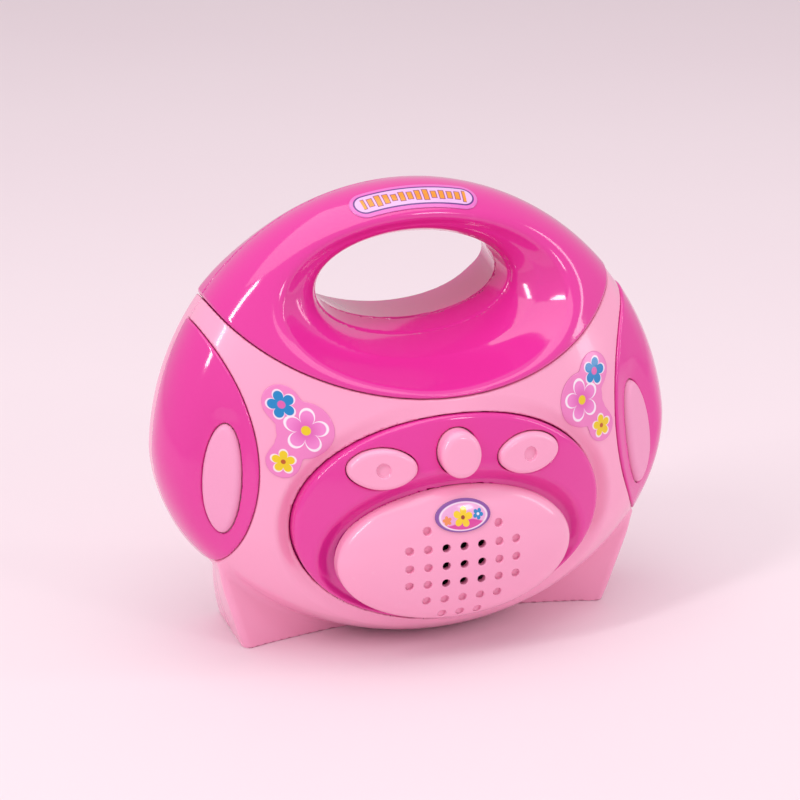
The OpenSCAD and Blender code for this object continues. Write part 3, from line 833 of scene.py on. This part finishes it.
def soft_plastic(name, main, deep):
    """Fine-grained matt plastic."""
    f = Finish(name)
    speckle = f.grain(2600, 4, 0.7)
    colour = f.colours(f.grain(30, 3) * 0.5, main, deep)
    colour = f.colours(speckle.above(0.6, 0.2) * 0.25, colour, deep)
    f.set(base_color=colour, roughness=speckle * 0.2 + 0.36)
    f.bump(speckle, 0.35, 0.0003)
    return f.material


def metal(name, main, dark, roughness, scale=(1, 1, 1)):
    """Plated or drawn metal with fine directional lines and small stains."""
    f = Finish(name)
    stretch = f.node("ShaderNodeMapping", {}, {"Vector": f.place, "Scale": scale})
    lines = f.node("ShaderNodeTexNoise", {}, {"Vector": stretch.outputs[0], "Scale": 900.0, "Detail": 4.0})
    lines = Signal(f, lines.outputs["Fac"])
    f.set(base_color=f.colours(f.grain(260, 5) * 0.7, main, dark), metallic=1.0,
          roughness=lines * 0.2 + (roughness - 0.1))
    f.bump(lines, 0.15, 0.0001)
    return f.material


def coarse(name, main, dark, roughness, scale, strength):
    """Dull material with a visible grain, such as paper, resin or rubber."""
    f = Finish(name)
    grain = f.grain(scale, 5, 0.65)
    f.set(base_color=f.colours(grain, main, dark), roughness=grain * 0.25 + (roughness - 0.12))
    f.bump(grain, strength, 0.0004)
    return f.material


def board_finish():
    """Green board with lighter copper tracks under the mask."""
    f = Finish("circuit_board")
    x, _, z = f.axes()
    tracks = abs((x * 0.9).maths("SINE") + (z * 0.7).maths("SINE")).below(0.12, 0.1)
    weave = f.grain(1500, 2)
    f.set(base_color=f.colours(tracks, tone(24, 96, 52), tone(60, 150, 84)), roughness=weave * 0.2 + 0.3)
    f.bump(tracks + weave * 0.3, 0.3, 0.0001)
    return f.material


def cell_finish():
    """Plain cell wrap with a metal band at the raised end."""
    f = Finish("battery_wrap")
    x = f.axes()[0]
    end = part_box("battery_lower")[1][0] / MM
    band = x.above(end - 14, 0.3)
    f.set(base_color=f.colours(band, tone(36, 78, 150), tone(190, 160, 96)),
          roughness=f.grain(300, 4) * 0.2 + 0.22)
    f.bump(f.grain(500, 2), 0.08)
    return f.material


def petals(x, z, flower, turn, plump):
    """Distance from a flower's centre, as 1 on the outline of its five petals and in petal lengths."""
    across, up, size = flower
    dx, dz = (x - across) / size, (z - up) / size
    r = (dx * dx + dz * dz).maths("SQRT")
    lobes = abs(((dz.maths("ARCTAN2", dx) - math.radians(turn)) * 2.5).maths("COSINE"))
    return r / (lobes**0.62 * (1 - plump) + plump), r


def flower_print(name, side):
    """Clear pink film printed with a blue, a pink and a yellow flower."""
    f = Finish(name)
    x, _, z = f.axes()
    x = x * side
    base = f.colours(f.grain(140, 4), tone(244, 140, 202), tone(238, 128, 194))
    big, r_big = petals(x, z, BIG_FLOWER, 100, 0.42)
    base = f.colours(big.below(1.0, 0.04), base, tone(252, 240, 250))
    shade = f.colours(r_big.above(0.42, 0.6), tone(224, 96, 182), tone(242, 136, 208))
    base = f.colours(big.below(0.88, 0.05), base, shade)
    base = f.colours(r_big.below(0.21, 0.04), base, tone(238, 208, 30))
    blue, r_blue = petals(x, z, BLUE_FLOWER, 75, 0.5)
    base = f.colours(blue.below(1.08, 0.06), base, tone(250, 232, 246))
    base = f.colours(blue.below(0.96, 0.06), base, tone(24, 134, 200))
    base = f.colours(r_blue.below(0.27, 0.06), base, tone(226, 96, 176))
    yellow, r_yellow = petals(x, z, YELLOW_FLOWER, 95, 0.48)
    base = f.colours(yellow.below(1.1, 0.06), base, tone(250, 232, 236))
    base = f.colours(yellow.below(0.95, 0.06), base, tone(240, 208, 24))
    base = f.colours(r_yellow.below(0.2, 0.06), base, tone(190, 90, 30))
    f.set(base_color=base, roughness=f.grain(420, 4) * 0.12 + 0.16, coat_weight=0.3)
    f.bump(f.grain(900, 2), 0.05)
    return f.material


def label_print():
    """Lavender strip with a purple border and a plain row of sound-level bars."""
    f = Finish("handle_print")
    x, y, z = f.axes()
    up = lean_height(y, z) - FORM_Z
    rho = (x * x + up * up).maths("SQRT")
    along = x.maths("ARCTAN2", up) * LABEL_REACH
    across = lean_depth(y, z).maths("ARCTAN2", rho - RIM_C) * RIM_R - LABEL_RISE
    past = (abs(along) - (LABEL_HALF - LABEL_R)).most(0.0)
    edge = (past * past + across * across).maths("SQRT")
    colour = f.colours(f.grain(150, 4), tone(240, 120, 208), tone(230, 104, 196))
    colour = f.colours(edge.below(LABEL_R - 1.15, 0.12), colour, tone(98, 40, 132))
    field = f.colours(f.grain(260, 3), tone(243, 200, 242), tone(232, 178, 236))
    colour = f.colours(edge.below(LABEL_R - 1.65, 0.12), colour, field)
    pitch = 2.35
    slot = (along / pitch).maths("FLOOR")
    local = along / pitch - slot - 0.5
    height = ((slot * 2.4).maths("SINE") * 0.5 + (slot * 1.1 + 1).maths("SINE") * 0.4) * 0.6 + 1.75
    bar = (abs(local) * pitch).below(0.88, 0.12).least(abs(across).below(height, 0.14))
    inner = (abs(local) * pitch).below(0.66, 0.12).least(abs(across).below(height - 0.22, 0.14))
    row = abs(along).below(LABEL_HALF - 3.6, 0.1)
    colour = f.colours(bar.least(row), colour, tone(132, 52, 110))
    orange = f.colours(f.grain(300), tone(250, 176, 40), tone(238, 130, 44))
    colour = f.colours(inner.least(row), colour, orange)
    f.set(base_color=colour, roughness=f.grain(420, 4) * 0.12 + 0.16, coat_weight=0.3)
    f.bump(f.grain(900, 2), 0.05)
    return f.material


def badge_print():
    """Purple ring, pale inner ring and a pink field with a yellow and a blue flower."""
    f = Finish("badge_print")
    x, _, z = f.axes()
    dx, dz = x / BADGE_A, (z - BADGE_Z) / BADGE_B
    r = (dx * dx + dz * dz).maths("SQRT")
    field = f.colours(f.grain(180, 4), tone(250, 190, 226), tone(232, 160, 222))
    wave = dz - (dx * 4.2 + 0.8).maths("SINE") * 0.16 + 0.32
    field = f.colours(wave.below(0, 0.08), field, tone(226, 70, 164))
    yellow, r_yellow = petals(x, z, (-0.3, BADGE_Z - 0.1, 2.9), 80, 0.42)
    field = f.colours(yellow.below(1.0, 0.07), field, tone(250, 214, 40))
    field = f.colours(r_yellow.below(0.2, 0.06), field, tone(160, 60, 40))
    blue, r_blue = petals(x, z, (4.3, BADGE_Z + 0.3, 1.6), 60, 0.5)
    field = f.colours(blue.below(1.0, 0.12), field, tone(40, 140, 205))
    field = f.colours(r_blue.below(0.25, 0.1), field, tone(250, 240, 245))
    small = petals(x, z, (-4.9, BADGE_Z - 0.7, 1.35), 100, 0.5)[0]
    field = f.colours(small.below(1.0, 0.12), field, tone(245, 150, 90))
    colour = f.colours(r.above(0.80, 0.04), field, tone(250, 226, 246))
    colour = f.colours(r.above(0.875, 0.04), colour, tone(140, 84, 168))
    f.set(base_color=colour, roughness=f.grain(420, 4) * 0.1 + 0.08, coat_weight=0.6)
    f.bump(f.grain(700, 2), 0.04)
    return f.material


# ---- printed films -------------------------------------------------------------------------


def sticker_outline(points=120):
    """Far edge of overlapping round lobes, seen from the sticker's centre."""
    turn = circle(points)
    ux, uz = np.cos(turn), np.sin(turn)
    reach = np.zeros(points)
    for x, z, r in STICKER_LOBES:
        dx, dz = STICKER_CENTRE[0] - x, STICKER_CENTRE[1] - z
        half = dx * ux + dz * uz
        inside = half * half - dx * dx - dz * dz + r * r
        edge = np.sqrt(np.maximum(inside, 0)) - half
        reach = np.where(inside > 0, np.maximum(reach, edge), reach)
    soft = sum(np.roll(reach, k) * (3 - abs(k)) for k in range(-2, 3)) / 9
    return np.stack([STICKER_CENTRE[0] + soft * ux, STICKER_CENTRE[1] + soft * uz], axis=1)


def sticker(name, side):
    """Flower film on the front shell, on the right (1) or the left (-1)."""
    outline = sticker_outline()
    centre = STICKER_CENTRE
    if side < 0:
        outline, centre = (outline * (-1, 1))[::-1], (-centre[0], centre[1])

    def place(x, z):
        return np.stack([x, front_of(case, x, z), z], axis=1)
    return film(name, case, place, outline, centre, 0.28)


def pill(half, r, points=28):
    """Outline of a strip with round ends."""
    ends = []
    for side in (1, -1):
        for k in range(points + 1):
            angle = side * math.pi / 2 - math.pi * k / points
            ends.append((side * (half - r) + r * math.cos(angle), r * math.sin(angle)))
    flat = []
    for a, b in zip(ends, ends[1:] + ends[:1]):
        n = max(1, int(math.dist(a, b) / 0.9))
        flat += [(a[0] + (b[0] - a[0]) * k / n, a[1] + (b[1] - a[1]) * k / n) for k in range(n)]
    return np.array(flat)[::-1]


def handle_label():
    """Label film bent over the rim at the top of the handle."""
    def place(along, across):
        turn, rise = along / LABEL_REACH, (across + LABEL_RISE) / RIM_R
        r = RIM_R + 0.6
        rho, depth = RIM_C + r * np.cos(rise), r * np.sin(rise)
        up = FORM_Z + rho * np.cos(turn)
        y = LEAN_Y + up * math.sin(LEAN) - depth * math.cos(LEAN)
        return np.stack([rho * np.sin(turn), y, up * math.cos(LEAN) + depth * math.sin(LEAN)], axis=1)
    return film("handle_label_film", body, place, pill(LABEL_HALF, LABEL_R), (0, 0), 0.3)


def badge():
    """Oval badge on the top of the grille, with a slight crown."""
    turn = circle(96)
    outline = np.stack([BADGE_A * np.cos(turn), BADGE_Z + BADGE_B * np.sin(turn)], axis=1)

    def place(x, z):
        return np.stack([x, dome_face(x, z), z], axis=1)
    return film("speaker_badge_dome", dome, place, outline, (0, BADGE_Z), 0.45, 0.35)


# ---- finishes by slot ---------------------------------------------------------------------

FINISHES = {
    # The third colour of each gloss plastic is its painted edge highlight.
    "pale_pink": gloss_plastic("pale_pink", tone(254, 172, 207), tone(251, 164, 201), tone(255, 194, 220),
                               0.22, 0.35),
    "magenta": gloss_plastic("magenta", tone(233, 52, 162), tone(227, 44, 154), tone(243, 96, 186),
                             0.11, 0.6),
    "soft_pink": soft_plastic("soft_pink", tone(250, 170, 208), tone(244, 156, 198)),
    "handle_print": label_print(),
    "flower_print": flower_print("flower_print", 1),
    "badge_print": badge_print(),
    "plated_steel": metal("plated_steel", tone(196, 198, 202), tone(168, 170, 176), 0.28),
    "spring_steel": metal("spring_steel", tone(176, 178, 184), tone(140, 142, 150), 0.32, (1, 6, 1)),
    "speaker_basket": metal("speaker_basket", tone(168, 170, 172), tone(140, 142, 146), 0.42),
    "speaker_paper": coarse("speaker_paper", tone(40, 40, 44), tone(24, 24, 26), 0.85, 1400, 0.5),
    "speaker_core": coarse("speaker_core", tone(92, 92, 96), tone(60, 60, 64), 0.6, 700, 0.3),
    "circuit_board": board_finish(),
    "black_plastic": coarse("black_plastic", tone(34, 34, 36), tone(22, 22, 24), 0.45, 1800, 0.2),
    "capacitor_sleeve": coarse("capacitor_sleeve", tone(40, 52, 118), tone(28, 38, 96), 0.3, 500, 0.1),
    "resistor_lacquer": coarse("resistor_lacquer", tone(206, 174, 128), tone(176, 140, 98), 0.45, 900, 0.2),
    "battery_wrap": cell_finish(),
    "red_lead": coarse("red_lead", tone(200, 36, 36), tone(168, 24, 24), 0.45, 1200, 0.15),
    "black_lead": coarse("black_lead", tone(36, 36, 38), tone(22, 22, 24), 0.5, 1200, 0.15),
}
LEFT_FLOWERS = flower_print("flower_print_left", -1)

# ---- pieces -------------------------------------------------------------------------------


def settle_in(piece, node, slot, rides, finish=None):
    """Gives a piece its finish and its body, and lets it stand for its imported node."""
    piece.data.materials.clear()
    piece.data.materials.append(finish or FINISHES[slot])
    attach(piece, rides)
    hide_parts(node)


def near(node, spare):
    """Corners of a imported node's box, moved out by spare."""
    low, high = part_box(node)
    return [v / MM - spare for v in low], [v / MM + spare for v in high]


# Node, field, slot, body and the size of a mesh cell.
MOULDINGS = [
    ("front_shell", front_shell, "pale_pink", "case", 0.65),
    ("rear_shell", rear_shell, "pale_pink", "case", 0.75),
    ("handle_front", handle_front, "magenta", "case", 0.7),
    ("handle_rear", handle_rear, "magenta", "case", 0.8),
    ("front_panel", front_panel, "magenta", "case", 0.5),
    ("speaker_grille", speaker_grille, "pale_pink", "case", 0.36),
    ("button_left", left_key, "pale_pink", "left_key", 0.35),
    ("button_centre", centre_key, "pale_pink", "centre_key", 0.35),
    ("button_right", right_key, "pale_pink", "right_key", 0.35),
    ("battery_cover", battery_cover, "pale_pink", "battery_hatch", 0.8),
]
SIDE_MOULDINGS = [
    ("side_panel", side_panel, "magenta", 0.6),
    ("side_insert", side_insert, "soft_pink", 0.45),
]
for node, field, slot, rides, step in MOULDINGS:
    settle_in(moulded(node + "_moulding", field, *near(node, 2.2), step), node, slot, rides)
for node, field, slot, step in SIDE_MOULDINGS:
    for side in ("right", "left"):
        piece = moulded(f"{node}_{side}_moulding", field, *near(node + "_right", 2.0), step, side == "left")
        settle_in(piece, f"{node}_{side}", slot, "case")
settle_in(sticker("flower_film_right", 1), "flower_sticker_right", "flower_print", "case")
settle_in(sticker("flower_film_left", -1), "flower_sticker_left", "flower_print", "case", LEFT_FLOWERS)
settle_in(handle_label(), "handle_label", "handle_print", "case")
settle_in(badge(), "speaker_badge", "badge_print", "case")
screws("case_screws", 2.9, 1.2, 11, [(x, y + 3.05, z) for x, y, z in CASE_BOSSES])
screws("handle_screws", 2.8, 1.2, 11, [(HANDLE_BOSS[0], HANDLE_BOSS[1] + 3.05, HANDLE_BOSS[2])])
screws("cover_screws", 2.7, 1.2, 9, [COVER_SCREW], "battery_hatch")
screws("board_screws", 2.4, 1.1, 7, [(BOARD_POST[0], BOARD_Y + 1.2, BOARD_POST[2])])
screws("speaker_screws", 2.6, 1.1, 3.4, [(19.5, DOME_BACK + 3.15, SPEAKER_Z)])
settle_in(contact_coils(), "contact_springs", "spring_steel", "case")

SLOTS = {s["node"]: s["material_slot"] for s in frame["record"]["subparts"]}
for node, item in frame["nodes"].items():
    item.data.materials.clear()
    item.data.materials.append(FINISHES[SLOTS[node]])

# ---- floor, light and camera -----------------------------------------------------------------


def floor_finish():
    """Pale pink studio sweep."""
    f = Finish("studio_floor")
    colour = f.colours(f.grain(3, 2), tone(247, 232, 238), tone(244, 226, 234))
    f.set(base_color=colour, roughness=f.grain(60, 3) * 0.1 + 0.6)
    f.bump(f.grain(400, 3), 0.03)
    return f.material


def studio_floor(half=4.0):
    mesh = bpy.data.meshes.new("studio_floor")
    corners = [(-half, -half, 0), (half, -half, 0), (half, half, 0), (-half, half, 0)]
    mesh.from_pydata(corners, [], [(0, 1, 2, 3)])
    plane = bpy.data.objects.new("studio_floor", mesh)
    bpy.context.scene.collection.objects.link(plane)
    mesh.materials.append(floor_finish())


def soft_light(name, at, aim, width, height, power):
    lamp = bpy.data.lights.new(name, "AREA")
    lamp.shape = "RECTANGLE"
    lamp.size = width
    lamp.size_y = height
    lamp.energy = power
    item = bpy.data.objects.new(name, lamp)
    item.location = at
    item.rotation_euler = (Vector(aim) - Vector(at)).to_track_quat("-Z", "Y").to_euler()
    bpy.context.scene.collection.objects.link(item)


def studio_world(colour, strength):
    world = bpy.data.worlds.new("studio")
    world.use_nodes = True
    back = world.node_tree.nodes["Background"]
    back.inputs["Color"].default_value = (*colour, 1)
    back.inputs["Strength"].default_value = strength
    bpy.context.scene.world = world


def camera(aim, azimuth, height, distance, lens):
    """Camera that looks at aim from azimuth degrees left of straight ahead and height degrees above."""
    a, h = math.radians(azimuth), math.radians(height)
    back = Vector((-math.sin(a) * math.cos(h), -math.cos(a) * math.cos(h), math.sin(h)))
    data = bpy.data.cameras.new("view")
    data.lens = lens
    data.sensor_width = 36
    data.clip_start = 0.05
    item = bpy.data.objects.new("view", data)
    item.location = Vector(aim) + back * distance
    item.rotation_euler = (-back).to_track_quat("-Z", "Y").to_euler()
    bpy.context.scene.collection.objects.link(item)
    bpy.context.scene.camera = item


studio_floor()
soft_light("key", (-1.1, -0.38, 1.05), (0, 0, 0.07), 0.12, 0.8, 5.0)
soft_light("window", (0.55, -1.2, 0.9), (0, 0, 0.07), 0.22, 0.3, 1.5)
soft_light("edge", (1.1, -0.35, 0.6), (0, 0, 0.07), 0.14, 0.7, 1.3)
soft_light("top", (-0.1, -0.1, 1.3), (0, 0, 0.05), 1.3, 1.1, 6.2)
studio_world((1.0, 0.94, 0.965), 0.64)
camera((-0.0065, 0.0, 0.0687), 18.57, 18.96, 0.7232, 112.5)
bpy.context.scene.view_settings.view_transform = "Standard"
